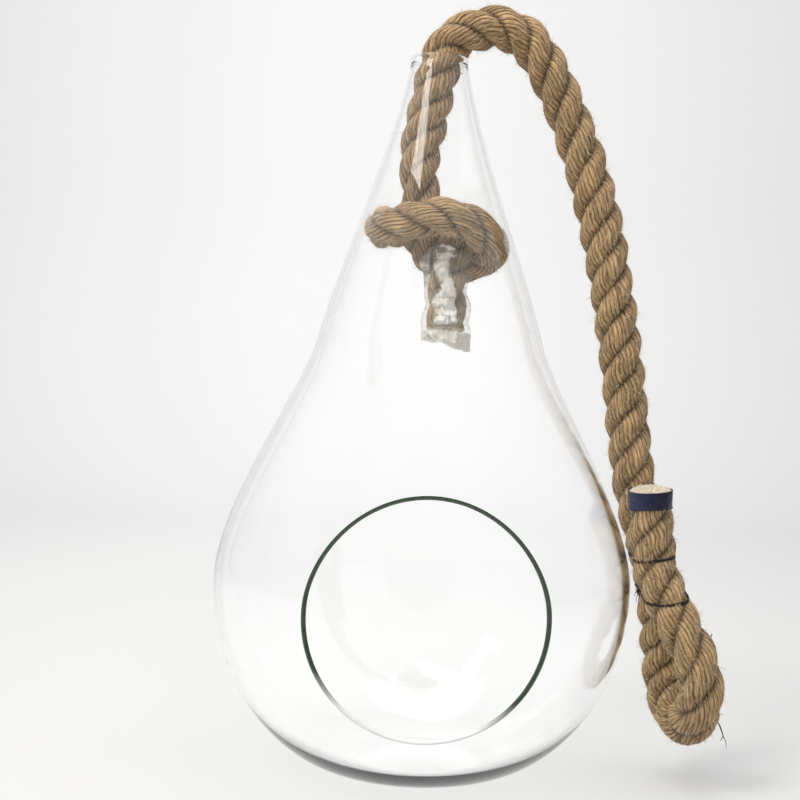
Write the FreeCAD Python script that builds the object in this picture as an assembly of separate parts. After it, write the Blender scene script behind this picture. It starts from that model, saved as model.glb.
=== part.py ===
# Teardrop terrarium: a blown glass vessel with a round front opening, hung by a thick jute
# rope that is knotted inside the neck and folded back into a tied eye at its outer end.
# Millimetres, +Z up, origin at the centre of the flat base, front opening towards -Y.

import FreeCAD, Part
import math
import os
from FreeCAD import Vector

# Glass outline, measured on its outer face
vessel_height = 342.0
belly_radius = 100.0
belly_height = 88.5
base_radius = 33.0
shoulder_radius = 54.7
shoulder_height = 204.0
shoulder_slope = 0.265
neck_radius = 13.8
neck_slope = 0.186

# How far each stretch of the outline keeps its direction before it bends
base_reach = 33.5
belly_reach_down = 48.4
belly_reach_up = 34.7
shoulder_reach_down = 25.6
shoulder_reach_up = 45.0
neck_reach = 45.0

# Glass thickness, from the heavy base to the thin neck
base_wall = 4.0
belly_wall = 3.0
shoulder_wall = 2.4
neck_wall = 1.8

# Fire-polished lip round the top of the neck
lip_height = 3.2
lip_swell = 0.6
bore_flare = 0.2

# Round front opening, cut square to the glass all the way round, edges polished
opening_radius = 52.0
opening_height = 83.4
opening_depth = 85.0
polish_radius = 0.9

# Rope, and the stretch of it that the knot has pulled thin
rope_diameter = 20.0
knotted_diameter = 17.6
knot_last_bend = 17
bend_share = 0.45

# Clear tape round the inner end of the rope, reaching a little past the end
clear_tape_thickness = 0.5
clear_tape_overhang = 7.0
clear_tape_bends = 1

# Navy tape round the outer end
navy_tape_thickness = 0.4
navy_tape_width = 10.5
navy_tape_setback = 0.8

# Black thread tied round both legs of the eye
thread_diameter = 1.2
upper_tie_height = 106.0
lower_tie_height = 88.5

# Play between the rope and what is wrapped round it
tape_clearance = 0.2
tie_clearance = 0.2

# The way the rope runs, from its taped inner end through the overhand knot, up through the
# neck, over the lip, down the right side, round the eye and up to its cut outer end
rope_route = [
    (7, -12, 210), (7, -11.5, 224), (6.5, -6, 240), (12.5, -3, 254.5),
    (11.5, 10, 265), (-1, 20.5, 267), (-16, 20, 260.5), (-26, 7, 258),
    (-23, -10, 259), (-8.5, -19, 260.5), (3.5, -21.5, 261), (15.5, -22.5, 254),
    (26.5, -14.5, 246), (29, 2, 243.5), (17, 13.5, 240.5), (1.5, 14, 244.5),
    (-7, 4, 253.5), (-6, -1, 269), (-9, 0, 291), (-4.5, 0.5, 315),
    (-0.5, 0, 336), (4, 0, 352), (23, -1, 361), (41, -1, 356),
    (51, -1.5, 341.5), (59.5, -2, 325), (67, -2, 307.5), (74, -2, 289),
    (81, -2.5, 264), (86.5, -2.5, 237), (91, -3, 211), (95, -3, 184),
    (98, -3, 159), (102, -3.5, 134), (108, -4.5, 111.5), (113.5, -5.5, 90),
    (116, -3.5, 73), (118.5, 0, 58), (120.5, -1, 38), (125, -20, 26),
    (128, -41, 37.5), (127.5, -42, 58), (119, -35, 75.5), (109.5, -27.5, 94),
    (106, -25.5, 116), (104.5, -25, 138),
]


def direction(slope):
    # Unit vector that runs down and outwards along a wall of this slope
    return Vector(slope, 0, -1).normalize()


def outward(slope):
    # Unit vector square to that wall
    return Vector(1, 0, slope).normalize()


def curve(start, start_handle, end_handle, end):
    bend = Part.BezierCurve()
    bend.setPoles([start, start_handle, end_handle, end])
    return bend.toShape()


def wall_curves(base, belly, shoulder, neck):
    # Three curves that run up the glass from the edge of the base to the foot of the lip
    down_shoulder = direction(shoulder_slope)
    down_neck = direction(neck_slope)
    lower_belly = curve(
        base,
        base + Vector(base_reach, 0, 0),
        belly - Vector(0, 0, belly_reach_down),
        belly)
    upper_belly = curve(
        belly,
        belly + Vector(0, 0, belly_reach_up),
        shoulder + down_shoulder * shoulder_reach_down,
        shoulder)
    long_neck = curve(
        shoulder,
        shoulder - down_shoulder * shoulder_reach_up,
        neck + down_neck * neck_reach,
        neck)
    return [lower_belly, upper_belly, long_neck]


# Glass vessel: the outline turned about the vertical axis
outer_base = Vector(base_radius, 0, 0)
outer_belly = Vector(belly_radius, 0, belly_height)
outer_shoulder = Vector(shoulder_radius, 0, shoulder_height)
outer_neck = Vector(neck_radius, 0, vessel_height - lip_height)
inner_base = outer_base + Vector(0, 0, base_wall)
inner_belly = outer_belly - Vector(belly_wall, 0, 0)
inner_shoulder = outer_shoulder - outward(shoulder_slope) * shoulder_wall
inner_neck = outer_neck - outward(neck_slope) * neck_wall

outer_wall = wall_curves(outer_base, outer_belly, outer_shoulder, outer_neck)
inner_wall = wall_curves(inner_base, inner_belly, inner_shoulder, inner_neck)

# Lip: it swells out from the neck and rolls over to the inner face
lip_top = Vector(neck_radius - neck_wall / 2, 0, vessel_height)
lip_middle = vessel_height - lip_height / 2
lip_bulge = Vector(neck_radius + lip_swell, 0, lip_middle)
lip_inside = Vector(inner_neck.x + bore_flare, 0, lip_middle)
lip_outer_roll = Part.Arc(outer_neck, lip_bulge, lip_top).toShape()
lip_inner_roll = Part.Arc(lip_top, lip_inside, inner_neck).toShape()

axis_foot = Vector(0, 0, 0)
axis_floor = Vector(0, 0, base_wall)
under_side = Part.LineSegment(axis_foot, outer_base).toShape()
inner_floor = Part.LineSegment(inner_base, axis_floor).toShape()
axis_line = Part.LineSegment(axis_floor, axis_foot).toShape()

outline = [under_side] + outer_wall + [lip_outer_roll, lip_inner_roll]
outline = outline + list(reversed(inner_wall)) + [inner_floor, axis_line]
section = Part.Face(Part.Wire(Part.__sortEdges__(outline)))
vessel = section.revolve(Vector(0, 0, 0), Vector(0, 0, 1), 360)

# Front opening: a cone from the vessel's axis, so that the cut is square to the curved wall
cutter_length = belly_radius * 1.3
cutter_radius = opening_radius * cutter_length / opening_depth
cutter_tip = Vector(0, 0, opening_height)
cutter = Part.makeCone(0, cutter_radius, cutter_length, cutter_tip, Vector(0, -1, 0))
vessel = vessel.cut(cutter)


def on_opening(edge):
    # True for the edges that lie on the cone of the front opening
    for point in edge.discretize(5):
        reach = -point.y
        if reach < belly_wall:
            return False
        across = math.hypot(point.x, point.z - opening_height)
        if abs(across - reach * opening_radius / opening_depth) > 0.01:
            return False
    return True


opening_edges = [edge for edge in vessel.Edges if on_opening(edge)]
vessel = vessel.makeFillet(polish_radius, opening_edges)


def rope_path(points):
    # Straight runs joined by arcs that touch both runs
    edges = []
    last = points[0]
    for before, corner, after in zip(points, points[1:], points[2:]):
        to_before = before - corner
        to_after = after - corner
        run = min(to_before.Length, to_after.Length)
        to_before.normalize()
        to_after.normalize()
        turn = math.pi - to_before.getAngle(to_after)
        cut = bend_share * run
        radius = cut / math.tan(turn / 2)
        bisector = (to_before + to_after).normalize()
        sagitta = radius / math.cos(turn / 2) - radius
        arc_start = corner + to_before * cut
        arc_middle = corner + bisector * sagitta
        arc_end = corner + to_after * cut
        edges.append(Part.LineSegment(last, arc_start).toShape())
        edges.append(Part.Arc(arc_start, arc_middle, arc_end).toShape())
        last = arc_end
        print("bend radius", round(radius, 1), "turn", round(math.degrees(turn)))
    edges.append(Part.LineSegment(last, points[-1]).toShape())
    return edges


def ring(centre, along, radius):
    return Part.Wire(Part.Circle(centre, along, radius).toShape())


def tube(edges, start_radius, end_radius):
    # Solid of round section along the edges, from one radius to the other
    spine = Part.Wire(edges)
    first = edges[0]
    last = edges[-1]
    start_ring = ring(first.valueAt(first.FirstParameter),
                      first.tangentAt(first.FirstParameter), start_radius)
    rings = [start_ring]
    if end_radius != start_radius:
        rings.append(ring(last.valueAt(last.LastParameter),
                          last.tangentAt(last.LastParameter), end_radius))
    return spine.makePipeShell(rings, True, False)


# Jute rope: thin through the knot, filling out to its free diameter on the two straight runs
# and the bend that follow it
rope_points = [Vector(*point) for point in rope_route]
rope_edges = rope_path(rope_points)
knot_end = 2 * knot_last_bend
free_start = knot_end + 3
knot_radius = knotted_diameter / 2
rope_radius = rope_diameter / 2
knot_part = tube(rope_edges[:knot_end], knot_radius, knot_radius)
widening_part = tube(rope_edges[knot_end:free_start], knot_radius, rope_radius)
free_part = tube(rope_edges[free_start:], rope_radius, rope_radius)
rope = knot_part.fuse([widening_part, free_part])
rope = rope.Solids[0]

# Clear tape: a sleeve round the inner end, wrapped past the end of the rope
inner_end = rope_points[0]
into_rope = (rope_points[1] - inner_end).normalize()
sleeve_foot = inner_end - into_rope * clear_tape_overhang
sleeve_edges = [Part.LineSegment(sleeve_foot, inner_end).toShape()]
sleeve_edges = sleeve_edges + rope_edges[:2 * clear_tape_bends + 1]
sleeve_bore = knot_radius + tape_clearance
sleeve_outer = sleeve_bore + clear_tape_thickness
clear_tape = tube(sleeve_edges, sleeve_outer, sleeve_outer)
clear_tape = clear_tape.cut(tube(sleeve_edges, sleeve_bore, sleeve_bore))

# Navy tape: a band round the outer end, just short of the cut
outer_end = rope_points[-1]
back_down = (rope_points[-2] - outer_end).normalize()
band_top = outer_end + back_down * navy_tape_setback
band_bore = rope_radius + tape_clearance
band_outer = band_bore + navy_tape_thickness
navy_tape = Part.makeCylinder(band_outer, navy_tape_width, band_top, back_down)
navy_tape = navy_tape.cut(
    Part.makeCylinder(band_bore, navy_tape_width, band_top, back_down))


def legs_at(height):
    # Centre and direction of the rope's two legs where they cross this height
    points = Part.Wire(rope_edges).discretize(Distance=0.5)
    legs = []
    for low, high in zip(points, points[1:]):
        if (low.z - height) * (high.z - height) <= 0:
            share = (height - low.z) / (high.z - low.z)
            legs.append((low + (high - low) * share, (high - low).normalize()))
    return legs


def tie(height):
    # One loop of thread pulled round both legs, square to them
    (back, back_way), (front, front_way) = legs_at(height)
    along = (back_way - front_way).normalize()
    across = front - back
    across = (across - along * across.dot(along)).normalize()
    side = along.cross(across)
    front = back + across * (front - back).dot(across)
    slant = along.getAngle(back_way)
    reach = rope_radius / math.cos(slant) + tie_clearance + thread_diameter / 2
    loop = Part.Wire([
        Part.Arc(back + side * reach, back - across * reach, back - side * reach).toShape(),
        Part.LineSegment(back - side * reach, front - side * reach).toShape(),
        Part.Arc(front - side * reach, front + across * reach, front + side * reach).toShape(),
        Part.LineSegment(front + side * reach, back + side * reach).toShape(),
    ])
    thread = ring(back + side * reach, across, thread_diameter / 2)
    return loop.makePipeShell([thread], True, False)


upper_tie = tie(upper_tie_height)
lower_tie = tie(lower_tie_height)

os.makedirs("parts", exist_ok=True)
vessel.exportStep("parts/glass_vessel.step")
rope.exportStep("parts/jute_rope.step")
clear_tape.exportStep("parts/clear_tape.step")
navy_tape.exportStep("parts/navy_tape.step")
upper_tie.exportStep("parts/upper_tie.step")
lower_tie.exportStep("parts/lower_tie.step")
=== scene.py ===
# Teardrop terrarium: a blown glass teardrop with a round front opening, and the thick jute rope
# that it hangs by, here standing on a white table with the rope hanging down its right side.

import math
import random

import bmesh
import bpy
import numpy as np
from mathutils import Euler, Matrix, Vector, noise
from mathutils.geometry import interpolate_bezier


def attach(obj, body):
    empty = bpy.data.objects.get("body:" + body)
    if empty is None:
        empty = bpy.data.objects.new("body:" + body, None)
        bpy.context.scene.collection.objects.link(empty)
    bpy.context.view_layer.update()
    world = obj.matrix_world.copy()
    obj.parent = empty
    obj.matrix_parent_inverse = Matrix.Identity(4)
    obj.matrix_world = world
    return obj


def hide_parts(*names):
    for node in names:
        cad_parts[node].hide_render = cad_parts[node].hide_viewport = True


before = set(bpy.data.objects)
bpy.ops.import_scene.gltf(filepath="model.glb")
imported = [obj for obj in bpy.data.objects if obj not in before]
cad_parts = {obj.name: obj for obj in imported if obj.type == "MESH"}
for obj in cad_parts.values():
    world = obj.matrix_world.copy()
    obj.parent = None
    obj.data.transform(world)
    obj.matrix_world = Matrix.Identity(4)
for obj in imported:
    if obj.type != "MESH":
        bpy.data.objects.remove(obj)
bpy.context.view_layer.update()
scene = bpy.context.scene
scene.view_settings.view_transform = "Standard"


# Viewpoint: level with the middle of the vessel and almost square to its front opening. The
# photograph was taken a little tilted, so that the vessel leans to the right.
camera_distance = 0.635
camera_height = 0.1846
camera_turn = math.radians(1.7)
camera_roll = 0.034
camera_lens = 58.84
camera_data = bpy.data.cameras.new("camera")
camera_data.lens = camera_lens
camera_data.sensor_width = 36
camera_data.shift_x = -0.036
camera_data.shift_y = -0.0218
camera_data.clip_end = 20
camera = bpy.data.objects.new("camera", camera_data)
scene.collection.objects.link(camera)
camera.location = (-camera_distance * math.sin(camera_turn),
                   -camera_distance * math.cos(camera_turn), camera_height)
level_view = Euler((math.pi / 2, 0, -camera_turn)).to_matrix()
camera.rotation_euler = (level_view @ Matrix.Rotation(camera_roll, 3, "Z")).to_euler()
scene.camera = camera


# Jute rope: three strands laid up right-handed from hand-spun yarns. The inner end is tied in an
# overhand knot that jams in the neck. The rope leaves through the lip, hangs down the right
# side and turns back on itself to make the eye.
free_diameter = 0.0212
knotted_diameter = 0.0184
knot_length = 0.262
widening_length = 0.035
lay_length = 0.0465
strand_count = 3
strand_share = 0.565
strand_offset = 0.445
strand_flattening = 0.3
tied_flattening = 0.52
yarns_per_strand = 18
yarn_twist = 1.78
yarn_width = 0.002
yarn_relief = 0.00042
ring_step = 0.0013
ring_points = 126
rope_route = [
    (0.007, -0.012, 0.210), (0.007, -0.0115, 0.224), (0.0065, -0.006, 0.240),
    (0.0125, -0.003, 0.2545), (0.0115, 0.010, 0.265), (-0.001, 0.0205, 0.267),
    (-0.016, 0.020, 0.2605), (-0.026, 0.007, 0.258), (-0.023, -0.010, 0.259),
    (-0.0085, -0.019, 0.2605), (0.0035, -0.0215, 0.2630), (0.0155, -0.0222, 0.2600),
    (0.0258, -0.0145, 0.2525), (0.0283, 0.0010, 0.2480), (0.018, 0.0133, 0.2425),
    (0.0015, 0.014, 0.2445), (-0.007, 0.004, 0.2535), (-0.006, -0.001, 0.269),
    (-0.009, 0.000, 0.291), (-0.0045, 0.0005, 0.315), (-0.0005, 0.000, 0.336),
    (0.004, 0.000, 0.3510), (0.0235, -0.001, 0.3595), (0.041, -0.001, 0.3548),
    (0.051, -0.0015, 0.3415), (0.0595, -0.002, 0.325), (0.067, -0.002, 0.3075),
    (0.074, -0.002, 0.289), (0.081, -0.0025, 0.264), (0.0865, -0.0025, 0.237),
    (0.091, -0.003, 0.211), (0.095, -0.003, 0.184), (0.098, -0.003, 0.159),
    (0.102, -0.0035, 0.134), (0.108, -0.0045, 0.1115), (0.1135, -0.0055, 0.090),
    (0.116, -0.0035, 0.073), (0.1185, 0.000, 0.058), (0.1205, -0.001, 0.038),
    (0.125, -0.020, 0.026), (0.128, -0.041, 0.0375), (0.1275, -0.042, 0.058),
    (0.119, -0.035, 0.0755), (0.1095, -0.0275, 0.094), (0.106, -0.0255, 0.116),
    (0.1045, -0.025, 0.138),
]

route_curve = bpy.data.curves.new("rope_route", "CURVE")
route_curve.dimensions = "3D"
route_curve.resolution_u = 64
route_spline = route_curve.splines.new("NURBS")
route_spline.points.add(len(rope_route) - 1)
for spline_point, place in zip(route_spline.points, rope_route):
    spline_point.co = (*place, 1)
route_spline.order_u = 3
route_spline.use_endpoint_u = True
route_object = bpy.data.objects.new("rope_route", route_curve)
scene.collection.objects.link(route_object)
bpy.context.view_layer.update()
route_mesh = bpy.data.meshes.new_from_object(route_object)
route_line = np.array([vertex.co for vertex in route_mesh.vertices])
bpy.data.objects.remove(route_object)
bpy.data.meshes.remove(route_mesh)

travelled = np.concatenate([[0], np.cumsum(np.linalg.norm(np.diff(route_line, axis=0), axis=1))])
rope_length = travelled[-1]
ring_total = round(rope_length / ring_step) + 1
stations = np.linspace(0, rope_length, ring_total)
rope_centres = np.stack(
    [np.interp(stations, travelled, route_line[:, axis]) for axis in range(3)], axis=1)
rope_ways = np.gradient(rope_centres, axis=0)
rope_ways /= np.linalg.norm(rope_ways, axis=1)[:, None]

# The ring's own sideways direction is carried along the line without any twist
sideways = np.cross(rope_ways[0], (0, 1, 0))
rope_sides = []
for way in rope_ways:
    sideways = sideways - way * sideways.dot(way)
    sideways /= np.linalg.norm(sideways)
    rope_sides.append(sideways)
rope_sides = np.array(rope_sides)
rope_ups = np.cross(rope_ways, rope_sides)


def wander(values, spacing, seed):
    # Slow random wander along the rope, between about -1 and 1
    return 2 * np.array([noise.noise(Vector((value / spacing, seed, 0.37))) for value in values])


filling_out = np.clip((stations - knot_length) / widening_length, 0, 1)
filling_out = filling_out ** 2 * (3 - 2 * filling_out)
radii = (knotted_diameter + (free_diameter - knotted_diameter) * filling_out) / 2
radii *= 1 + 0.022 * wander(stations, 0.03, 1.5)
radii *= 1 - 0.055 * np.clip((stations - rope_length + 0.02) / 0.01, 0, 1)
lay_turn = 2 * math.pi * stations / lay_length + 0.5 * wander(stations, 0.09, 4.5)

# The strands are pressed flatter where the two legs of the eye are bound together
bound = np.clip((rope_centres[:, 2] - 0.078) / 0.012, 0, 1)
bound *= np.clip((0.165 - rope_centres[:, 2]) / 0.02, 0, 1) * (stations > 0.5)
flattening = strand_flattening + (tied_flattening - strand_flattening) * bound


def strand_surface(apart, radius, pressed):
    # Distance from the rope's axis, and angle round the strand's own axis, at this angle from
    # the strand's crown
    strand_radius = radius * strand_share
    offset = radius * strand_offset
    inside = np.maximum(strand_radius ** 2 - (offset * np.sin(apart)) ** 2, 0)
    surface = offset * np.cos(apart) + np.sqrt(inside)
    surface = surface + pressed * (radius * 0.97 - surface)
    local_angle = np.arctan2(surface * np.sin(apart), surface * np.cos(apart) - offset)
    return surface, local_angle


def strand_at(angle, turn):
    return np.floor((angle - turn) / (2 * math.pi) * strand_count + 0.5).astype(int) % strand_count


def from_crown(angle, turn, strand):
    apart = angle - turn - 2 * math.pi * strand / strand_count
    return (apart + math.pi) % (2 * math.pi) - math.pi


def yarn_position(local_angle, turn, strand):
    # Counts yarns across a strand. Their own twist keeps them nearly in line with the rope
    return yarns_per_strand / (2 * math.pi) * (local_angle + yarn_twist * turn) + 101 * strand


angles = 2 * math.pi * np.arange(ring_points) / ring_points
ring_angles = angles[None, :] + np.zeros((ring_total, 1))
ring_turns = lay_turn[:, None] + np.zeros((1, ring_points))
strands = strand_at(ring_angles, ring_turns)
apart = from_crown(ring_angles, ring_turns, strands)
reach, local_angle = strand_surface(apart, radii[:, None], flattening[:, None])
yarns = yarn_position(local_angle, ring_turns, strands)
tone_random = np.random.default_rng(7)
yarn_heights = tone_random.random(2048)
yarn_swell = np.abs(np.sin(math.pi * yarns)) ** 0.7
reach = reach + yarn_relief * (yarn_swell - 0.6)
reach = reach + 0.0004 * (yarn_heights[np.floor(yarns).astype(int) % 2048] - 0.5)
# How deep each vertex lies in the groove between two strands, kept to paint shade into the grooves
groove_shade = (np.abs(apart) / (math.pi / strand_count)) ** 4

spokes = (np.cos(angles)[None, :, None] * rope_sides[:, None, :]
          + np.sin(angles)[None, :, None] * rope_ups[:, None, :])
rope_verts = rope_centres[:, None, :] + reach[:, :, None] * spokes

# The outer end is cut a little askew, so that its face leans towards the front
cut_lean = 0.13
cut_ramp = np.clip((stations - rope_length + 0.012) / 0.012, 0, 1)
set_back = rope_verts[:, :, 1] - rope_centres[:, None, 1]
rope_verts = rope_verts + (cut_lean * cut_ramp[:, None] * set_back)[:, :, None] * rope_ways[:, None]

# Each thread tie bites into both legs of the eye. It lies on a plane that rises to the right by
# the first slope, and its front part falls by the second number
tie_bite = 0.09
tie_spread = 0.0026
tie_depth = 0.020
tie_planes = {"upper": (0.1068, 0.17, 0.0010), "lower": (0.0905, 0.15, 0.0046)}
eye_middle = 0.108
eye_front = -0.037


def tie_height(plane, x, y):
    level, slope, fall = plane
    forward = np.clip((eye_front + tie_depth - y) / tie_depth, 0, 1)
    return level + slope * (x - eye_middle) - fall * forward


on_eye = (rope_centres[:, 0] > 0.08) & (rope_centres[:, 2] < 0.15)
for plane in tie_planes.values():
    off_plane = rope_verts[:, :, 2] - tie_height(plane, rope_verts[:, :, 0], rope_verts[:, :, 1])
    bite = tie_bite * np.exp(-(off_plane / tie_spread) ** 2) * on_eye[:, None]
    inward = (rope_verts - rope_centres[:, None, :]) * (1, 1, 0)
    rope_verts = rope_verts - inward * bite[:, :, None]
rope_verts = rope_verts.reshape(-1, 3)
ring_index, spot_index = np.divmod(np.arange((ring_total - 1) * ring_points), ring_points)
next_spot = (spot_index + 1) % ring_points
low = ring_index * ring_points
high = low + ring_points
rope_faces = np.stack([low + spot_index, low + next_spot, high + next_spot, high + spot_index],
                      axis=1)

# Fibre pattern coordinates of each face's corners: yarns across, yarn widths along
corner_rings = np.stack([ring_index, ring_index, ring_index + 1, ring_index + 1], axis=1)
corner_spots = np.stack([spot_index, spot_index + 1, spot_index + 1, spot_index], axis=1)
corner_angles = 2 * math.pi * corner_spots / ring_points
corner_turns = lay_turn[corner_rings]
face_strands = strand_at(corner_angles.mean(axis=1), corner_turns.mean(axis=1))[:, None]
corner_apart = from_crown(corner_angles, corner_turns, face_strands)
corner_local = strand_surface(
    corner_apart, radii[corner_rings], flattening[corner_rings])[1]
corner_uv = np.stack([yarn_position(corner_local, corner_turns, face_strands),
                      stations[corner_rings] / yarn_width], axis=2)

# Both ends are cut across: the cut yarn ends stand up unevenly
cut_rings = 9
cut_bulge = 0.0012
cut_roughness = 0.0009
cut_fibre_width = 0.0012
all_verts = [rope_verts]
all_faces = [tuple(face) for face in rope_faces.tolist()]
vert_total = len(rope_verts)
for end_ring, outward in ((0, -1), (ring_total - 1, 1)):
    centre = rope_centres[end_ring]
    rim_points = rope_verts[end_ring * ring_points:(end_ring + 1) * ring_points]
    rim = [end_ring * ring_points + spot for spot in range(ring_points)]
    for step in range(1, cut_rings + 1):
        share = 1 - step / (cut_rings + 1)
        lift = cut_bulge * math.sqrt(1 - share ** 2)
        inner_points = centre + (rim_points - centre) * share
        lifts = np.array([lift + cut_roughness * noise.noise(Vector(point) * 700)
                          for point in inner_points])
        all_verts.append(inner_points + lifts[:, None] * rope_ways[end_ring] * outward)
        inner_rim = [vert_total + spot for spot in range(ring_points)]
        vert_total += ring_points
        for spot in range(ring_points):
            after = (spot + 1) % ring_points
            quad = (rim[spot], rim[after], inner_rim[after], inner_rim[spot])
            all_faces.append(quad if outward > 0 else quad[::-1])
        rim = inner_rim
    all_verts.append((centre + rope_ways[end_ring] * outward * cut_bulge)[None, :])
    for spot in range(ring_points):
        wedge = (rim[spot], rim[(spot + 1) % ring_points], vert_total)
        all_faces.append(wedge if outward > 0 else wedge[::-1])
    vert_total += 1


def piece_from(name, points, faces):
    # A piece of its own from points and the faces between them
    own_mesh = bpy.data.meshes.new(name)
    own_mesh.from_pydata(points, [], faces)
    piece = bpy.data.objects.new(name, own_mesh)
    scene.collection.objects.link(piece)
    return piece


rope = piece_from("jute_rope_strands", np.concatenate(all_verts).tolist(), all_faces)
rope_mesh = rope.data
rope_mesh.shade_smooth()

fibre_way = rope_mesh.uv_layers.new(name="fibre_way")
uv_values = np.zeros((len(rope_mesh.loops), 2), np.float32)
side_corners = corner_uv.shape[0] * 4
uv_values[:side_corners] = corner_uv.reshape(-1, 2)
loop_verts = np.zeros(len(rope_mesh.loops), np.int32)
rope_mesh.loops.foreach_get("vertex_index", loop_verts)
cut_places = np.concatenate(all_verts)[loop_verts[side_corners:]]
uv_values[side_corners:] = cut_places[:, :2] / cut_fibre_width
fibre_way.data.foreach_set("uv", uv_values.ravel())


def store_on_verts(piece_mesh, name, values, rest):
    # Keeps one number for each vertex, and one number for all vertices past the list's end
    whole = np.full(len(piece_mesh.vertices), rest, np.float32)
    whole[:values.size] = values.ravel()
    layer = piece_mesh.attributes.new(name, "FLOAT", "POINT")
    layer.data.foreach_set("value", whole)


store_on_verts(rope_mesh, "groove_shade", groove_shade, 0)
cut_part = np.zeros((ring_total, ring_points))
cut_part[0] = 1
cut_part[-1] = 1
store_on_verts(rope_mesh, "cut_end", cut_part, 1)


def new_material(name):
    # A material with its node tree and its own shader
    material = bpy.data.materials.new(name)
    material.use_nodes = True
    return material, material.node_tree, material.node_tree.nodes["Principled BSDF"]


def dial(node, settings):
    # Sets the node's own sockets by name
    for socket_name, value in settings.items():
        node.inputs[socket_name].default_value = value


def spread(tree, source, from_low, from_high, to_low, to_high):
    # Turns one range of values into another
    node = tree.nodes.new("ShaderNodeMapRange")
    dial(node, {"From Min": from_low, "From Max": from_high, "To Min": to_low, "To Max": to_high})
    tree.links.new(source, node.inputs["Value"])
    return node.outputs["Result"]


def combine(tree, operation, one, two):
    node = tree.nodes.new("ShaderNodeMath")
    node.operation = operation
    for socket, value in zip(node.inputs, (one, two)):
        if isinstance(value, (int, float)):
            socket.default_value = value
        else:
            tree.links.new(value, socket)
    return node.outputs["Value"]


def streaks(tree, coordinates, scale, detail):
    # Noise drawn out along the second coordinate
    stretch = tree.nodes.new("ShaderNodeMapping")
    dial(stretch, {"Scale": scale})
    tree.links.new(coordinates, stretch.inputs["Vector"])
    grain = tree.nodes.new("ShaderNodeTexNoise")
    dial(grain, {"Scale": 1, "Detail": detail, "Roughness": 0.6})
    tree.links.new(stretch.outputs["Vector"], grain.inputs["Vector"])
    return grain.outputs["Fac"]


def object_place(tree):
    return tree.nodes.new("ShaderNodeTexCoord").outputs["Object"]


def split(tree, source):
    # The three coordinates of a place
    node = tree.nodes.new("ShaderNodeSeparateXYZ")
    tree.links.new(source, node.inputs["Vector"])
    return node.outputs


def two_tones(tree, source, low, high):
    # A colour ramp between two colours, each given after its place
    ramp = tree.nodes.new("ShaderNodeValToRGB")
    for stop, (place, color) in zip(ramp.color_ramp.elements, (low, high)):
        stop.position = place
        stop.color = (*color, 1)
    tree.links.new(source, ramp.inputs["Fac"])
    return ramp


def rough_up(tree, shader, height, strength, distance):
    # Fine relief that is too small to model
    bump = tree.nodes.new("ShaderNodeBump")
    dial(bump, {"Strength": strength, "Distance": distance})
    tree.links.new(height, bump.inputs["Height"])
    tree.links.new(bump.outputs["Normal"], shader.inputs["Normal"])


def stored(tree, name):
    # Reads a number kept on the piece's vertices
    layer = tree.nodes.new("ShaderNodeAttribute")
    layer.attribute_name = name
    return layer.outputs["Fac"]


def pick(piece):
    # Selects this piece and nothing else
    bpy.ops.object.select_all(action="DESELECT")
    bpy.context.view_layer.objects.active = piece
    piece.select_set(True)


def edit_all():
    bpy.ops.object.mode_set(mode="EDIT")
    bpy.ops.mesh.select_all(action="SELECT")


def settle(piece, material):
    # Gives the piece its finish and ties it to the body it rides on
    piece.data.materials.clear()
    piece.data.materials.append(material)
    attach(piece, "root")


jute, tree, shader = new_material("jute")
nodes = tree.nodes
links = tree.links
dial(shader, {"Roughness": 0.9, "Specular IOR Level": 0.2,
              "Sheen Weight": 0.2, "Sheen Roughness": 0.6})
fibre_map = nodes.new("ShaderNodeUVMap")
fibre_map.uv_map = "fibre_way"
yarn_ripple = streaks(tree, fibre_map.outputs["UV"], (0.5, 0.22, 1), 3)
yarn_across = combine(tree, "ADD", split(tree, fibre_map.outputs["UV"])["X"],
                      spread(tree, yarn_ripple, 0, 1, -0.9, 0.9))
yarn_wave = combine(tree, "SINE", combine(tree, "MULTIPLY", yarn_across, math.pi), 0)
yarn_wave = combine(tree, "ABSOLUTE", yarn_wave, 0)
yarn_round = combine(tree, "POWER", yarn_wave, 0.6)
yarn_number = combine(tree, "FLOOR", yarn_across, 0)
yarn_lot = nodes.new("ShaderNodeTexWhiteNoise")
yarn_lot.noise_dimensions = "1D"
links.new(yarn_number, yarn_lot.inputs["W"])
fibres = streaks(tree, fibre_map.outputs["UV"], (3.2, 0.32, 1), 6)
tones = two_tones(tree, fibres, (0.28, (0.20, 0.115, 0.06)), (0.74, (0.90, 0.66, 0.37)))
tones.color_ramp.elements.new(0.5).color = (0.53, 0.335, 0.165, 1)
patches = streaks(tree, object_place(tree), (80, 80, 80), 3)
brightness = combine(tree, "MULTIPLY",
                     spread(tree, yarn_lot.outputs["Value"], 0, 1, 0.78, 1.2),
                     spread(tree, patches, 0.3, 0.7, 0.82, 1.15))
# Painted shade: the colour is darkened in the hollows between the yarns, and much more in the
# grooves between the strands, where shade falls
painted_crevice_shade = combine(tree, "MULTIPLY",
                   spread(tree, yarn_round, 0.15, 0.8, 0.26, 1),
                   spread(tree, stored(tree, "groove_shade"), 0.15, 0.9, 1, 0.25))
yarn_tone_and_painted_shade = combine(tree, "MULTIPLY", brightness, painted_crevice_shade)
yarn_color = nodes.new("ShaderNodeVectorMath")
yarn_color.operation = "SCALE"
links.new(tones.outputs["Color"], yarn_color.inputs[0])
links.new(yarn_tone_and_painted_shade, yarn_color.inputs["Scale"])
cut_color = two_tones(tree, streaks(tree, object_place(tree), (900, 900, 900), 3),
                      (0.3, (0.60, 0.45, 0.29)), (0.6, (0.95, 0.86, 0.69)))
rope_color = nodes.new("ShaderNodeMix")
rope_color.data_type = "RGBA"
links.new(stored(tree, "cut_end"), rope_color.inputs["Factor"])
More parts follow.
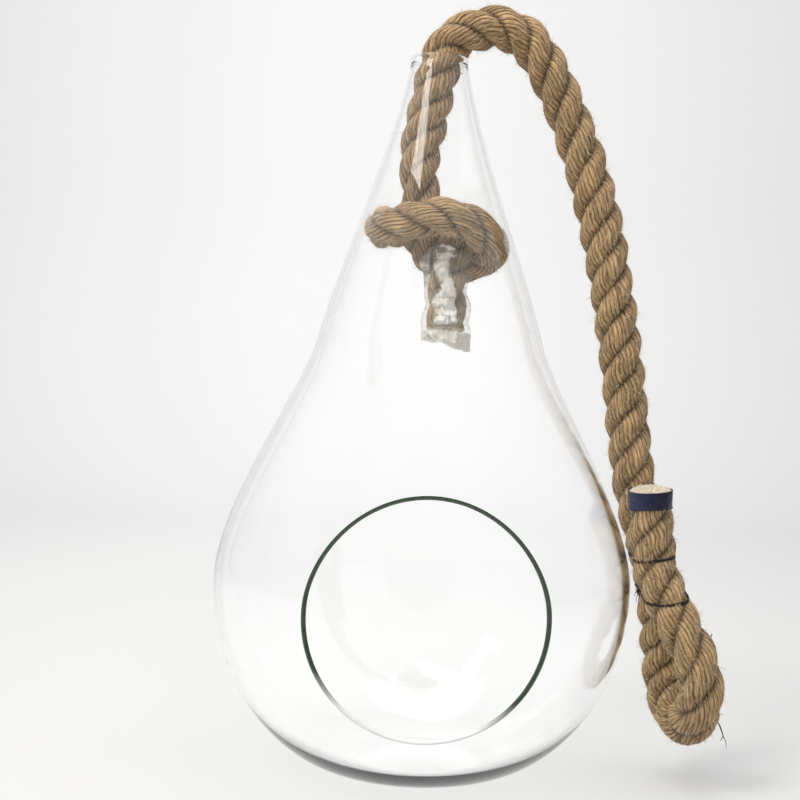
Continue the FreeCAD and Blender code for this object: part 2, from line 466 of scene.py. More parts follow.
links.new(yarn_color.outputs["Vector"], rope_color.inputs["A"])
links.new(cut_color.outputs["Color"], rope_color.inputs["B"])
links.new(rope_color.outputs["Result"], shader.inputs["Base Color"])
relief = combine(tree, "MULTIPLY_ADD", fibres, 0.35)
links.new(yarn_round, relief.node.inputs[2])
rough_up(tree, shader, relief, 0.8, 0.0006)
settle(rope, jute)
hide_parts("jute_rope")


# Loose fibres: short hairs that stand out of the rope all along it
hair_total = 19000
hair_width = 0.00024
hair_random = random.Random(11)
hair_verts = []
hair_faces = []
for _ in range(hair_total):
    ring = hair_random.randrange(2, ring_total - 2)
    spot = hair_random.randrange(ring_points)
    if ring * ring_step < 0.036:
        continue
    root = Vector(rope_verts[ring * ring_points + spot])
    out = Vector(spokes[ring, spot])
    along = Vector(rope_ways[ring]) * hair_random.choice((-1, 1))
    around = along.cross(out)
    lean = hair_random.uniform(0.25, 2.2)
    way = (out + along * lean + around * hair_random.uniform(-0.7, 0.7)).normalized()
    curl = (out * hair_random.uniform(-0.9, 0.3) + around * hair_random.uniform(-0.8, 0.8)
            + along * hair_random.uniform(-0.4, 0.4))
    hair_length = 0.0012 + 0.0040 * hair_random.random() ** 2.4
    first = len(hair_verts)
    for share in (0, 0.5, 1):
        place = root - out * 0.0003 + (way + curl * share * 0.5) * hair_length * share
        if share == 1:
            hair_verts.append(place)
            break
        thin = hair_width * (1 - 0.5 * share) / 2
        for corner in range(3):
            corner_angle = 2 * math.pi * corner / 3
            hair_verts.append(place + (around * math.cos(corner_angle)
                                       + out.cross(around) * math.sin(corner_angle)) * thin)
    for corner in range(3):
        low, after = first + corner, first + (corner + 1) % 3
        hair_faces.append((low, after, after + 3, low + 3))
        hair_faces.append((low + 3, after + 3, first + 6))
    hair_faces.append((first + 2, first + 1, first))
loose_fibres = piece_from("jute_loose_fibres", [tuple(place) for place in hair_verts], hair_faces)
loose_jute, tree, shader = new_material("loose_jute")
dial(shader, {"Roughness": 0.7})
hair_tones = two_tones(tree, streaks(tree, object_place(tree), (300, 300, 300), 1),
                       (0.35, (0.60, 0.42, 0.22)), (0.65, (0.96, 0.82, 0.56)))
tree.links.new(hair_tones.outputs["Color"], shader.inputs["Base Color"])
settle(loose_fibres, loose_jute)


# Navy tape: one and a bit turns of plastic tape round the rope's outer end, just under the cut,
# so that the strands don't come apart.
navy_width = 0.0094
navy_setback = 0.0004
navy_thickness = 0.0002
navy_turns = 1.12
navy_rows = 9
navy_steps = 150
navy_start = math.radians(205)
navy_edge_round = 0.00006


def wrapped(flat_points, way_count=180):
    # How far out a band pulled tight round these points lies, in each direction
    turns = 2 * math.pi * np.arange(way_count) / way_count
    looks = np.stack([np.cos(turns), np.sin(turns)], axis=1)
    supports = (flat_points @ looks.T).max(axis=0)
    towards = looks @ looks.T
    return np.where(towards > 0.2, supports[None, :] / np.maximum(towards, 0.2), 9).min(axis=1)


def at_angle(reaches, angle):
    # Reads a list of reaches, one for each direction, at any angle
    spot = (angle / (2 * math.pi)) % 1 * len(reaches)
    low = int(spot) % len(reaches)
    high = (low + 1) % len(reaches)
    return reaches[low] + (reaches[high] - reaches[low]) * (spot - int(spot))


def ring_wrap(ring):
    # The band round one ring of the rope, measured in the ring's own directions
    return wrapped(reach[ring][:, None] * np.stack([np.cos(angles), np.sin(angles)], axis=1))


def ring_look(ring, angle):
    # The direction outwards from one ring of the rope
    return math.cos(angle) * rope_sides[ring] + math.sin(angle) * rope_ups[ring]


def film_grid(name, rows):
    # A sheet from rows of points
    points = [tuple(point) for row in rows for point in row]
    across = len(rows[0])
    quads = [(row * across + spot, row * across + spot + 1,
              (row + 1) * across + spot + 1, (row + 1) * across + spot)
             for row in range(len(rows) - 1) for spot in range(across - 1)]
    return piece_from(name, points, quads)


def give_thickness(sheet, thickness, bevel):
    # Solid film with rounded edges
    pick(sheet)
    solid = sheet.modifiers.new("thickness", "SOLIDIFY")
    solid.thickness = thickness
    solid.offset = 1
    bpy.ops.object.modifier_apply(modifier=solid.name)
    if bevel:
        round_off = sheet.modifiers.new("edges", "BEVEL")
        round_off.width = bevel
        round_off.segments = 2
        round_off.limit_method = "ANGLE"
        bpy.ops.object.modifier_apply(modifier=round_off.name)
    edit_all()
    bpy.ops.mesh.normals_make_consistent(inside=False)
    bpy.ops.object.mode_set(mode="OBJECT")
    bpy.ops.object.shade_smooth()


navy_rows_of_points = []
for row in range(navy_rows):
    back_from_end = navy_setback + navy_width * (1 - row / (navy_rows - 1))
    ring = round((rope_length - back_from_end) / ring_step)
    band = ring_wrap(ring)
    band = band * 0.4 + band.mean() * 0.6 + (band.max() - band.mean()) * 0.5
    points = []
    for step in range(navy_steps + 1):
        angle = navy_start + 2 * math.pi * navy_turns * step / navy_steps
        wave = noise.noise(Vector((math.cos(angle) * 1.4, math.sin(angle) * 1.4, row * 0.12)))
        reach_out = (at_angle(band, angle) + 0.00012 + 0.00022 * wave
                     + 0.0004 * angle / (2 * math.pi) - 0.0002)
        end_lift = max(0, 1 - (navy_steps - step) / 6)
        reach_out += 0.0004 * end_lift ** 2
        place = rope_centres[ring] + reach_out * ring_look(ring, angle)
        lean = cut_lean * cut_ramp[ring] * (place[1] - rope_centres[ring][1])
        edge_wander = 0.0004 * noise.noise(Vector((angle * 0.8, row // (navy_rows - 1) * 9, 3)))
        points.append(place + (lean + edge_wander * (row in (0, navy_rows - 1))) * rope_ways[ring])
    navy_rows_of_points.append(points)
navy_tape = film_grid("navy_tape_band", navy_rows_of_points)
give_thickness(navy_tape, navy_thickness, navy_edge_round)

navy_film, tree, shader = new_material("navy_tape_film")
navy_place = object_place(tree)
navy_tones = two_tones(tree, streaks(tree, navy_place, (130, 130, 40), 2),
                       (0.35, (0.006, 0.008, 0.030)), (0.7, (0.012, 0.018, 0.085)))
tree.links.new(navy_tones.outputs["Color"], shader.inputs["Base Color"])
tree.links.new(spread(tree, streaks(tree, navy_place, (300, 300, 120), 3), 0.3, 0.7, 0.32, 0.5),
               shader.inputs["Roughness"])
rough_up(tree, shader, streaks(tree, navy_place, (420, 420, 160), 3), 0.35, 0.0003)
settle(navy_tape, navy_film)
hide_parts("navy_tape")


# Thread ties: waxed black thread wound twice round both legs of the eye, pulled tight into the
# jute and knotted, with its frayed ends left standing.
thread_radius = 0.00038
tie_steps = 88

black_thread, tree, shader = new_material("black_thread")
dial(shader, {"Roughness": 0.6})
thread_grain = streaks(tree, object_place(tree), (1500, 1500, 2600), 2)
thread_tones = two_tones(tree, thread_grain,
                         (0.35, (0.010, 0.006, 0.005)), (0.75, (0.055, 0.035, 0.026)))
tree.links.new(thread_tones.outputs["Color"], shader.inputs["Base Color"])
rough_up(tree, shader, thread_grain, 0.6, 0.0002)


def thread_piece(name, runs):
    # One mesh from several runs of thread: each is its points and its radius from end to end
    thread_curve = bpy.data.curves.new(name, "CURVE")
    thread_curve.dimensions = "3D"
    thread_curve.resolution_u = 4
    thread_curve.bevel_depth = 1
    thread_curve.bevel_resolution = 1
    thread_curve.use_fill_caps = True
    for run_points, root_radius, tip_radius in runs:
        spline = thread_curve.splines.new("NURBS")
        spline.points.add(len(run_points) - 1)
        for number, place in enumerate(run_points):
            share = number / (len(run_points) - 1)
            spline.points[number].co = (*place, 1)
            spline.points[number].radius = root_radius + (tip_radius - root_radius) * share
        spline.order_u = 3
        spline.use_endpoint_u = True
    whole = bpy.data.objects.new(name, thread_curve)
    scene.collection.objects.link(whole)
    pick(whole)
    bpy.ops.object.convert(target="MESH")
    whole = bpy.context.object
    bpy.ops.object.shade_smooth()
    settle(whole, black_thread)
    return whole


def tie_loop(plane, knot_angle):
    # Two turns of thread round both legs
    legs = rope_verts[rope_verts[:, 0] > 0.08]
    near = legs[np.abs(legs[:, 2] - tie_height(plane, legs[:, 0], legs[:, 1])) < 0.001]
    middle = (near[:, :2].max(axis=0) + near[:, :2].min(axis=0)) / 2
    band = wrapped(near[:, :2] - middle, 240)
    points = []
    for step in range(2 * tie_steps + 1):
        angle = knot_angle + 2 * math.pi * step / tie_steps
        out = at_angle(band, angle) - 0.0001
        x = middle[0] + out * math.cos(angle)
        y = middle[1] + out * math.sin(angle)
        rise = (step / tie_steps - 1) * 0.00062
        rise += 0.0003 * noise.noise(
            Vector((math.cos(angle) * 2, math.sin(angle) * 2, step * 0.02)))
        points.append(Vector((x, y, tie_height(plane, x, y) + rise)))
    return points


def small_knot(place, out):
    # A tight little double knot of the same thread
    along = Vector((0, 0, 1))
    side = along.cross(out)
    points = []
    for step in range(41):
        turn = 2 * math.pi * 2.5 * step / 40
        points.append(place + out * (0.0004 + 0.0005 * math.cos(turn))
                      + along * 0.0007 * math.sin(turn)
                      + side * (0.0011 * (step / 40 - 0.5)))
    return points


knot_side = math.radians(172)
lower_turns = tie_loop(tie_planes["lower"], knot_side)
knot_out = Vector((math.cos(knot_side), math.sin(knot_side), 0))
lower_knot_place = lower_turns[0]
lower_runs = [(lower_turns, thread_radius, thread_radius),
              (small_knot(lower_knot_place, knot_out), thread_radius, thread_radius)]
tail_random = random.Random(5)
for drop, stray in ((0.0052, -0.0016), (0.0041, 0.0006), (0.0066, 0.0002), (0.0024, -0.0024)):
    start = lower_knot_place + knot_out * 0.0004
    tail = [start + Vector((stray * share + 0.0005 * tail_random.uniform(-1, 1),
                            -0.0015 * share + 0.0004 * tail_random.uniform(-1, 1),
                            0.0008 * math.sin(3 * share) - drop * share))
            for share in (0, 0.25, 0.5, 0.75, 1)]
    lower_runs.append((tail, thread_radius * 0.7, thread_radius * 0.25))
lower_tie = thread_piece("lower_thread_tie", lower_runs)
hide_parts("lower_tie")

upper_knot_side = math.radians(40)
upper_turns = tie_loop(tie_planes["upper"], upper_knot_side)
upper_out = Vector((math.cos(upper_knot_side), math.sin(upper_knot_side), 0))
upper_runs = [(upper_turns, thread_radius, thread_radius * 0.9),
              (small_knot(upper_turns[0], upper_out), thread_radius, thread_radius)]
for drop, stray in ((0.004, 0.0012), (0.0028, -0.0012)):
    start = upper_turns[0] + upper_out * 0.0004
    upper_runs.append(([start + upper_out * 0.0012 * share
                        + Vector((stray * share, -stray * share, -drop * share ** 1.5))
                        for share in (0, 0.33, 0.66, 1)], thread_radius * 0.8, thread_radius * 0.3))
upper_tie = thread_piece("upper_thread_tie", upper_runs)
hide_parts("upper_tie")

# Ends of the same thread, caught between the strands further down the eye
stray_ends = thread_piece("stray_thread_ends", [
    ([Vector((0.1348, -0.0350, 0.0360)), Vector((0.1385, -0.0343, 0.0318)),
      Vector((0.1402, -0.0345, 0.0272)), Vector((0.1408, -0.0346, 0.0252))], 0.00040, 0.00022),
    ([Vector((0.1406, -0.0346, 0.0258)), Vector((0.1418, -0.0345, 0.0238)),
      Vector((0.1423, -0.0345, 0.0222)), Vector((0.1422, -0.0345, 0.0204))], 0.00022, 0.00010),
    ([Vector((0.1406, -0.0346, 0.0258)), Vector((0.1400, -0.0347, 0.0246)),
      Vector((0.1392, -0.0347, 0.0236))], 0.00020, 0.00010),
    ([Vector((0.1275, -0.0385, 0.0672)), Vector((0.1305, -0.0390, 0.0695)),
      Vector((0.1322, -0.0392, 0.0722)), Vector((0.1326, -0.0392, 0.0738))], 0.00032, 0.00022),
])


# Clear tape: crinkled adhesive film wound round the rope's inner end, loose enough to stand off
# the jute in folds, and torn off ragged below the end of the rope.
film_overhang = 0.0082
film_top = 0.038
film_rows = 84
film_steps = 190
film_radius = 0.0095
film_thickness = 0.00014
seam_gap = 0.000005
film_painted_glint = []
film_points = []
first_way = rope_ways[0]


def held(value):
    # Keeps a value between 0 and 1
    return min(max(value, 0), 1)


for row in range(film_rows):
    station = -film_overhang + (film_top + film_overhang) * row / (film_rows - 1)
    ring = max(round(station / ring_step), 0)
    band = ring_wrap(ring)
    centre = rope_centres[ring] + first_way * min(station, 0)
    points = []
    for step in range(film_steps + 1):
        angle = 2 * math.pi * step / film_steps
        at = Vector((math.cos(angle) * film_radius, math.sin(angle) * film_radius, station * 0.8))
        ridge = 1 - 2.2 * abs(noise.noise(at * 190))
        fine = 1 - 2.2 * abs(noise.noise(at * 420 + Vector((5, 1, 2))))
        loose = 0.5 + 0.5 * min(max((0.02 - station) / 0.02, -1), 1)
        at_front = 1 - 0.75 * abs(math.cos(angle)) ** 2
        stand_off = 0.0003 + at_front * (0.0009 * max(ridge, 0) * (0.5 + loose)
                                         + 0.00035 * max(fine, 0))
        # Flared to both sides towards the end
        stand_off += 0.0023 * abs(math.cos(angle)) ** 3 * loose ** 1.3
        # The long fold down the front
        fold_angle = math.radians(84 + 16 * math.sin(station * 160))
        fold_width = math.radians(15 + 10 * held((station - 0.022) / 0.012))
        fold = math.exp(-((angle - fold_angle) / fold_width) ** 2) * held((station - 0.008) / 0.006)
        stand_off += 0.0018 * fold
        # A flat panel under it, over the lowest part of the rope
        panel = math.exp(-((angle - math.radians(80)) / math.radians(30)) ** 4)
        panel *= held((0.017 - station) / 0.003) * held((station - 0.001) / 0.002)
        # The loose corner at the upper left
        corner_share = max(0, 1 - abs(station - 0.030) / 0.010)
        away = min(abs(angle), abs(angle - 2 * math.pi))
        stand_off += 0.0042 * corner_share * math.exp(-(away / math.radians(13)) ** 2)
        out = at_angle(band, angle) + stand_off
        ragged = 0
        if station < 0:
            around = Vector((math.cos(angle) * 1.6, math.sin(angle) * 1.6, 4.2))
            tear = 0.0034 * noise.noise(around) + 0.0036 * math.cos(angle - math.radians(185))
            ragged = (-station / film_overhang) * (tear - 0.0005)
        points.append(centre + out * ring_look(ring, angle) - first_way * ragged)
        # Painted highlight: the white film is made more opaque along the front fold and the flat
        # panel, at the loose corner, on the crinkles and over the torn end, in place of the lamps'
        # glints
        film_painted_glint.append(min(1, max(fold, panel) * (0.75 + 0.5 * max(ridge, 0))
                             + 0.5 * corner_share * (away < 0.3)
                             + 0.25 * max(fine, 0) * max(ridge, 0) + 0.45 * (station < -0.001)))
    film_points.append(points)
clear_tape = film_grid("clear_tape_sleeve", film_points)
store_on_verts(clear_tape.data, "fold", np.array(film_painted_glint), 0)
# The sheet's two long edges meet in one seam
pick(clear_tape)
edit_all()
bpy.ops.mesh.remove_doubles(threshold=seam_gap)
bpy.ops.object.mode_set(mode="OBJECT")
give_thickness(clear_tape, film_thickness, 0)

clear_film, tree, shader = new_material("clear_tape_film")
dial(shader, {"Roughness": 0.12, "IOR": 1.5})
film_place = object_place(tree)
film_cloud = streaks(tree, film_place, (260, 260, 180), 4)
film_tones = two_tones(tree, film_cloud, (0.3, (0.95, 0.86, 0.68)), (0.6, (1.0, 0.985, 0.95)))
tree.links.new(film_tones.outputs["Color"], shader.inputs["Base Color"])
edge_on = tree.nodes.new("ShaderNodeLayerWeight")
dial(edge_on, {"Blend": 0.25})
# The film's opacity shows its white: the painted highlight stored above, plus a painted reflection
# that grows where the film is seen edge-on
painted_glint_veil = combine(tree, "MULTIPLY", spread(tree, stored(tree, "fold"), 0.25, 0.7, 0, 0.97),
               spread(tree, film_cloud, 0.3, 0.5, 0.7, 1))
painted_glint_veil = combine(tree, "ADD", painted_glint_veil, spread(tree, edge_on.outputs["Facing"], 0.3, 1, 0.07, 0.5))
tree.links.new(painted_glint_veil, shader.inputs["Alpha"])
rough_up(tree, shader, streaks(tree, film_place, (500, 500, 300), 3), 0.5, 0.0006)
settle(clear_tape, clear_film)
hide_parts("clear_tape")


# Glass vessel: blown in one piece, with a heavy flat base, a wide belly and a long neck that ends
# in a fire-polished lip. The round front opening was cut square to the wall and polished.
glass_stations = [
    # radius and height, then the handle before it and the handle after it
    ((0.0330, 0.0000), (-0.0100, 0.0000), (0.0335, 0.0000)),
    ((0.1000, 0.0885), (0.0000, -0.0484), (0.0000, 0.0347)),
    ((0.0547, 0.2040), (0.00656, -0.02475), (-0.01153, 0.0435)),
    ((0.0138, 0.3388), (0.00823, -0.04424), (0.00025, 0.0006)),
    ((0.0142, 0.3405), (0.0000, -0.0008), (0.0000, 0.0008)),
    ((0.0129, 0.3420), (0.0008, 0.0000), (-0.0006, 0.0000)),
    ((0.01203, 0.33847), (-0.0002, 0.0020), (0.00823, -0.04424)),
    ((0.05238, 0.20339), (-0.01153, 0.0435), (0.00656, -0.02475)),
    ((0.0970, 0.0885), (0.0000, 0.0347), (0.0000, -0.0484)),
    ((0.0330, 0.0040), (0.0335, 0.0000), (-0.0100, 0.0000)),
]
bpy.ops.object.select_all(action="DESELECT")
bpy.ops.curve.primitive_bezier_curve_add(location=(0, 0, 0))
glass = bpy.context.object
glass.name = "blown_glass_teardrop"
glass.data.resolution_u = 52
glass_points = glass.data.splines[0].bezier_points
glass_points.add(len(glass_stations) - 2)
for glass_point, (place, before, after) in zip(glass_points, glass_stations):
    glass_point.handle_left_type = "FREE"
    glass_point.handle_right_type = "FREE"
    glass_point.co = (place[0], 0, place[1])
    glass_point.handle_left = (place[0] + before[0], 0, place[1] + before[1])
    glass_point.handle_right = (place[0] + after[0], 0, place[1] + after[1])


def wall_table(first, last):
    # Heights and radii along one face of the glass, finely spaced
    heights, radii_there = [], []
    for one, two in zip(glass_points[first:last], glass_points[first + 1:last + 1]):
        for place in interpolate_bezier(one.co, one.handle_right, two.handle_left, two.co, 400):
            heights.append(place.z)
            radii_there.append(place.x)
    order = np.argsort(heights)
    return np.array(heights)[order], np.array(radii_there)[order]


outer_table = wall_table(0, 3)
inner_table = wall_table(6, 9)

spin_steps = 240
profile_weld = 0.0004
seam_weld = 0.00002
bpy.ops.object.convert(target="MESH")
glass = bpy.context.object
edit_all()
bpy.ops.mesh.remove_doubles(threshold=profile_weld)
bpy.ops.mesh.spin(steps=spin_steps, angle=2 * math.pi, center=(0, 0, 0), axis=(0, 0, 1))
bpy.ops.mesh.select_all(action="SELECT")
bpy.ops.mesh.remove_doubles(threshold=seam_weld)


def select_where(piece, test):
    # Selects just the vertices that pass the test, and what lies between them
    shell = bmesh.from_edit_mesh(piece.data)
    bpy.ops.mesh.select_all(action="DESELECT")
    bpy.ops.mesh.select_mode(type="VERT")
    for vertex in shell.verts:
        vertex.select_set(test(vertex.co))
    shell.select_flush(True)
    bmesh.update_edit_mesh(piece.data)


base_radius = glass_stations[0][0][0]
for floor_height in (glass_stations[0][0][1], glass_stations[-1][0][1]):
    select_where(glass, lambda place: abs(place.z - floor_height) < 1e-6
                 and abs(math.hypot(place.x, place.y) - base_radius) < 1e-5)
    bpy.ops.mesh.edge_face_add()
    bpy.ops.mesh.inset(thickness=0.003)
    bpy.ops.mesh.poke()

opening_height = 0.0834
opening_slope = 0.052 / 0.085
collar_ratios = (1.02, 1.045, 1.075)
clearing_ratio = 1.105
# The polished edge's section: how far through the wall, and how far back from the opening
edge_section = ((0.03, 0.0110), (0.08, 0.0055), (0.16, 0.0020), (0.28, 0.0), (0.50, 0.0),
                (0.72, 0.0), (0.84, 0.0020), (0.92, 0.0055), (0.97, 0.0110))


def cone_ratio(place):
    if place.y > -0.04:
        return 9
    return math.hypot(place.x, place.z - opening_height) / -place.y / opening_slope


shell = bmesh.from_edit_mesh(glass.data)
cut_away = [face for face in shell.faces
            if min(cone_ratio(vertex.co) for vertex in face.verts) < clearing_ratio]
bmesh.ops.delete(shell, geom=cut_away, context="FACES")


def on_wall(table, ratio, angle):
    # Where a ray from the vessel's axis meets one face of the wall
    near_reach, far_reach = 0.05, 0.12
    for _ in range(40):
        reach_out = (near_reach + far_reach) / 2
        across = reach_out * opening_slope * ratio
        x = across * math.cos(angle)
        z = opening_height + across * math.sin(angle)
        if math.hypot(x, reach_out) < np.interp(z, *table):
            near_reach = reach_out
        else:
            far_reach = reach_out
    return Vector((x, -reach_out, z))


def collar(table):
    # Rings of vertices on the wall round the opening, joined by quads
    rings = [[shell.verts.new(on_wall(table, ratio, 2 * math.pi * spot / spin_steps))
              for spot in range(spin_steps)] for ratio in collar_ratios]
    for near_ring, far_ring in zip(rings, rings[1:]):
        for spot in range(spin_steps):
            after = (spot + 1) % spin_steps
            shell.faces.new((near_ring[spot], near_ring[after], far_ring[after], far_ring[spot]))
    return rings


def round_opening(vertex):
    return math.atan2(vertex.co.z - opening_height, vertex.co.x) % (2 * math.pi)


def join_round(inner_loop, outer_loop):
    # Triangles between two loops round the opening, always taking the shorter way across
    near, far = 0, 0
    while near < len(inner_loop) or far < len(outer_loop):
        near_vertex = inner_loop[near % len(inner_loop)]
        far_vertex = outer_loop[far % len(outer_loop)]
        next_near = inner_loop[(near + 1) % len(inner_loop)]
        next_far = outer_loop[(far + 1) % len(outer_loop)]
        near_way = (next_near.co - far_vertex.co).length
        far_way = (next_far.co - near_vertex.co).length
        if far == len(outer_loop) or (near < len(inner_loop) and near_way <= far_way):
            shell.faces.new((near_vertex, next_near, far_vertex))
            near += 1
        else:
            shell.faces.new((near_vertex, next_far, far_vertex))
            far += 1


torn_verts = {vertex for edge in shell.edges if edge.is_boundary for vertex in edge.verts}
outer_rings = collar(outer_table)
inner_rings = collar(inner_table)
for rings, is_outer in ((outer_rings, True), (inner_rings, False)):
    own_verts = []
    for vertex in torn_verts:
        height = vertex.co.z
        middle = (np.interp(height, *outer_table) + np.interp(height, *inner_table)) / 2
        if (math.hypot(vertex.co.x, vertex.co.y) > middle) == is_outer:
            own_verts.append(vertex)
    join_round(sorted(rings[-1], key=round_opening), sorted(own_verts, key=round_opening))
edge_rings = [outer_rings[0]]
for share, set_back in edge_section:
    edge_ring = []
    for spot in range(spin_steps):
        angle = 2 * math.pi * spot / spin_steps
        outside_place = on_wall(outer_table, 1 + set_back, angle)
        inside_place = on_wall(inner_table, 1 + set_back, angle)
        edge_ring.append(shell.verts.new(outside_place.lerp(inside_place, share)))
    edge_rings.append(edge_ring)
edge_rings.append(inner_rings[0])
for near_ring, far_ring in zip(edge_rings, edge_rings[1:]):
    for spot in range(spin_steps):
        after = (spot + 1) % spin_steps
        shell.faces.new((near_ring[spot], near_ring[after], far_ring[after], far_ring[spot]))
bmesh.update_edit_mesh(glass.data)
bpy.ops.mesh.select_all(action="SELECT")
bpy.ops.mesh.normals_make_consistent(inside=False)
bpy.ops.object.mode_set(mode="OBJECT")
bpy.ops.object.shade_smooth()
glass.location = (0, 0, 0)

# The wall's own directions, so that no seam shows in the reflections
wall_normals = []
rim_spots = set()
for vertex in glass.data.vertices:
    around_axis = math.hypot(vertex.co.x, vertex.co.y)
    direction = (0, 0, 0)
    for (heights, radii_there), facing in ((outer_table, 1), (inner_table, -1)):
        height = vertex.co.z
        if abs(np.interp(height, heights, radii_there) - around_axis) < 0.00002 \
                and 0.006 < height < 0.335:
            slope = (np.interp(height + 0.0005, heights, radii_there)
                     - np.interp(height - 0.0005, heights, radii_there)) / 0.001
            direction = Vector((vertex.co.x / around_axis, vertex.co.y / around_axis, -slope))
            direction = tuple(direction.normalized() * facing)
    if cone_ratio(vertex.co) < collar_ratios[0] + 0.0005:
        rim_spots.add(vertex.index)
    wall_normals.append(direction)
glass.data.normals_split_custom_set_from_vertices(wall_normals)


def light_way(tree, name):
    # Says whether the ray is of this kind
    return tree.nodes.new("ShaderNodeLightPath").outputs["Is %s Ray" % name]


clear_glass, tree, shader = new_material("clear_glass")
nodes = tree.nodes
links = tree.links
dial(shader, {"Base Color": (1, 1, 1, 1), "Roughness": 0.0, "IOR": 1.5,
              "Transmission Weight": 1})
let_light_by = nodes.new("ShaderNodeBsdfTransparent")
dial(let_light_by, {"Color": (0.985, 0.988, 0.986, 1)})
glass_mix = nodes.new("ShaderNodeMixShader")
links.new(combine(tree, "MAXIMUM", light_way(tree, "Shadow"), light_way(tree, "Diffuse")),
          glass_mix.inputs["Fac"])
links.new(shader.outputs["BSDF"], glass_mix.inputs[1])
links.new(let_light_by.outputs["BSDF"], glass_mix.inputs[2])
glass_output = nodes["Material Output"]
links.new(glass_mix.outputs["Shader"], glass_output.inputs["Surface"])
depth_tint = nodes.new("ShaderNodeVolumeAbsorption")
dial(depth_tint, {"Color": (0.42, 0.72, 0.60, 1), "Density": 4.5})
links.new(depth_tint.outputs["Volume"], glass_output.inputs["Volume"])
settle(glass, clear_glass)
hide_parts("glass_vessel")

# The cut edge shows the green of the glass, darkened further as painted shade; along its lower part
# it fades to white and is less clear, a painted highlight where it faces the overhead light
cut_glass = clear_glass.copy()
cut_glass.name = "clear_glass_cut_edge"
cut_shader = cut_glass.node_tree.nodes["Principled BSDF"]
tree = cut_glass.node_tree
cut_place = split(tree, object_place(tree))
edge_green_and_painted_light = tree.nodes.new("ShaderNodeMix")
edge_green_and_painted_light.data_type = "RGBA"
edge_green_and_painted_light.inputs["A"].default_value = (1, 1, 1, 1)
edge_green_and_painted_light.inputs["B"].default_value = (0.055, 0.095, 0.045, 1)
# Painted highlight: below this tilted height the edge turns white, where it faces the overhead lamp
edge_light_level = combine(tree, "ADD", cut_place["Z"], combine(tree, "MULTIPLY", cut_place["X"], 0.146))
tree.links.new(spread(tree, edge_light_level, 0.041, 0.056, 0, 1), edge_green_and_painted_light.inputs["Factor"])
tree.links.new(edge_green_and_painted_light.outputs["Result"], cut_shader.inputs["Base Color"])
tree.links.new(spread(tree, edge_light_level, 0.041, 0.056, 0, 0.45),
               cut_shader.inputs["Transmission Weight"])
dial(cut_shader, {"Roughness": 0.25})
glass.data.materials.append(cut_glass)
for face in glass.data.polygons:
    if all(vertex in rim_spots for vertex in face.vertices):
        face.material_index = 1


# Table and backdrop: one seamless white sweep, a little greyer where it rises behind the vessel
sweep_width = 3.2
sweep_front = -3.0
sweep_turn = 1.1
sweep_top = 3.0
sweep_bends = 12
sweep_radius = 0.5
below_base = 0.0004
bpy.ops.object.select_all(action="DESELECT")
bpy.ops.mesh.primitive_plane_add(size=1, location=(0, 0, -below_base))
sweep = bpy.context.object
sweep.name = "white_sweep"
edit_all()
bpy.ops.transform.resize(value=(sweep_width, sweep_turn - sweep_front, 1))
bpy.ops.transform.translate(value=(0, (sweep_turn + sweep_front) / 2, 0))
select_where(sweep, lambda place: place.y > sweep_turn - 0.01)
for bend_step in range(sweep_bends):
    bend_angle = math.pi / 2 * (bend_step + 0.5) / sweep_bends
    bend_run = sweep_radius * math.pi / 2 / sweep_bends
    bpy.ops.mesh.extrude_region_move(TRANSFORM_OT_translate={
        "value": (0, bend_run * math.cos(bend_angle), bend_run * math.sin(bend_angle))})
bpy.ops.mesh.extrude_region_move(TRANSFORM_OT_translate={"value": (0, 0, sweep_top)})
bpy.ops.object.mode_set(mode="OBJECT")
bpy.ops.object.shade_smooth()
white_card, tree, shader = new_material("white_card")
dial(shader, {"Base Color": (0.64, 0.64, 0.64, 1), "Roughness": 0.9,
              "Specular IOR Level": 0.1, "Emission Color": (1, 1, 1, 1)})
card_place = split(tree, object_place(tree))
card_side = combine(tree, "ABSOLUTE", combine(tree, "ADD", card_place["X"], 0.05), 0)
# The sweep glows for camera rays, reflections and rays through the glass. The glow is painted light
# that rises towards the back, with painted shade towards both sides, and through the glass it glows
# more, most just in front of the vessel
card_glow = combine(tree, "SUBTRACT", spread(tree, card_place["Y"], 0, 1.6, 0.24, 0.50),
                    spread(tree, card_side, 0.15, 0.75, 0, 0.12))
seen_card = combine(tree, "MAXIMUM", light_way(tree, "Camera"), light_way(tree, "Glossy"))
card_glow = combine(tree, "MULTIPLY", card_glow,
                    combine(tree, "MAXIMUM", seen_card, light_way(tree, "Transmission")))
glow_through_glass = spread(tree, card_place["Y"], -0.05, 0.20, 0.14, 0.09)
card_glow = combine(tree, "ADD", card_glow,
                    combine(tree, "MULTIPLY", light_way(tree, "Transmission"), glow_through_glass))
tree.links.new(card_glow, shader.inputs["Emission Strength"])
sweep.data.materials.append(white_card)


# Studio light: a large softbox overhead, a smaller one and a window on the left, and a pale room,
# darker low at its two sides, which gives the glass its dark outlines
world = bpy.data.worlds.new("pale_room")
scene.world = world
world.use_nodes = True
tree = world.node_tree
background = tree.nodes["Background"]
dial(background, {"Color": (0.97, 0.98, 1.0, 1)})
room_way = split(tree, tree.nodes.new("ShaderNodeTexCoord").outputs["Generated"])
room_side = combine(tree, "ABSOLUTE", room_way["X"], 0)
room_dark = combine(tree, "MULTIPLY", spread(tree, room_side, 0.7, 0.95, 0, 0.2),
                    spread(tree, room_way["Z"], 0.15, 0.35, 1, 0))
room_seen = combine(tree, "SUBTRACT", 1.0, room_dark)
room_light = 0.44
mirrored_room = 0.32
room = combine(tree, "MULTIPLY", light_way(tree, "Glossy"), mirrored_room - room_light)
room = combine(tree, "ADD", room, room_light)
through_glass = light_way(tree, "Transmission")
room = combine(tree, "MULTIPLY", room, combine(tree, "SUBTRACT", 1.0, through_glass))
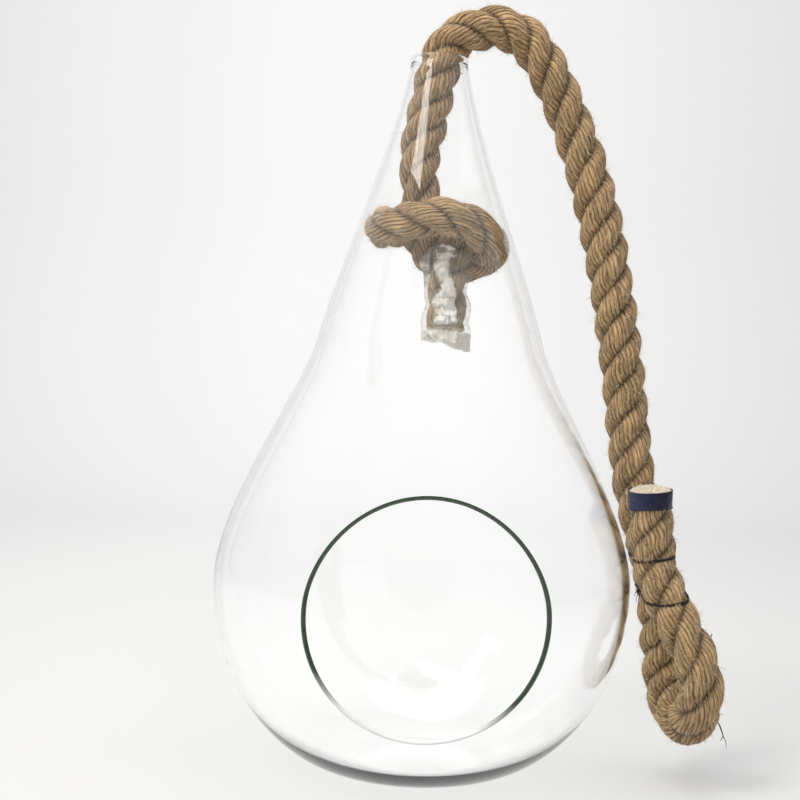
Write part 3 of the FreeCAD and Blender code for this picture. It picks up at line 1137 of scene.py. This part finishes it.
room = combine(tree, "ADD", room, combine(tree, "MULTIPLY", room_seen, through_glass))
room = combine(tree, "MAXIMUM", room, light_way(tree, "Camera"))
tree.links.new(room, background.inputs["Strength"])


def soft_lamp(name, place, aim, width, height, power, color):
    lamp_data = bpy.data.lights.new(name, "AREA")
    lamp_data.shape = "RECTANGLE"
    lamp_data.size = width
    lamp_data.size_y = height
    lamp_data.energy = power
    lamp_data.color = color
    lamp = bpy.data.objects.new(name, lamp_data)
    scene.collection.objects.link(lamp)
    lamp.location = place
    lamp.rotation_euler = (Vector(aim) - Vector(place)).to_track_quat("-Z", "Y").to_euler()
    return lamp


soft_lamp("overhead_softbox", (-0.1, -0.1, 1.5), (0, 0, 0.2), 1.15, 1.15, 10, (1.0, 0.98, 0.95))
soft_lamp("left_window", (-1.10, -0.66, 1.07), (0, 0, 0.315), 0.42, 0.12, 0.7, (1.0, 0.98, 0.95))
key_softbox = soft_lamp("key_softbox", (-0.75, -0.68, 1.32), (0, 0, 0.20), 0.5, 0.5, 9,
                        (1.0, 0.96, 0.90))
key_softbox.visible_glossy = False

# Flag: a card between the softbox and the vessel, as pale as the room, which keeps the lamp's
# reflection on the neck alone
bpy.ops.object.select_all(action="DESELECT")
bpy.ops.mesh.primitive_plane_add(size=1, location=(-0.0718, -0.0920, 0.2445))
flag = bpy.context.object
flag.name = "reflection_flag"
flag.scale = (0.12, 0.229, 1)
flag.rotation_euler = (math.pi / 2, 0, math.radians(-47.8))
bpy.ops.object.transform_apply(location=True, rotation=True, scale=True)
for unseen_by in ("visible_camera", "visible_diffuse", "visible_shadow", "visible_volume_scatter"):
    setattr(flag, unseen_by, False)
flag_card, tree, shader = new_material("flag_card")
tree.nodes.remove(shader)
flag_glow = tree.nodes.new("ShaderNodeEmission")
dial(flag_glow, {"Color": (0.97, 0.98, 1.0, 1)})
tree.links.new(spread(tree, light_way(tree, "Transmission"), 0, 1, mirrored_room, 1.0),
               flag_glow.inputs["Strength"])
tree.links.new(flag_glow.outputs["Emission"], tree.nodes["Material Output"].inputs["Surface"])
flag.data.materials.append(flag_card)
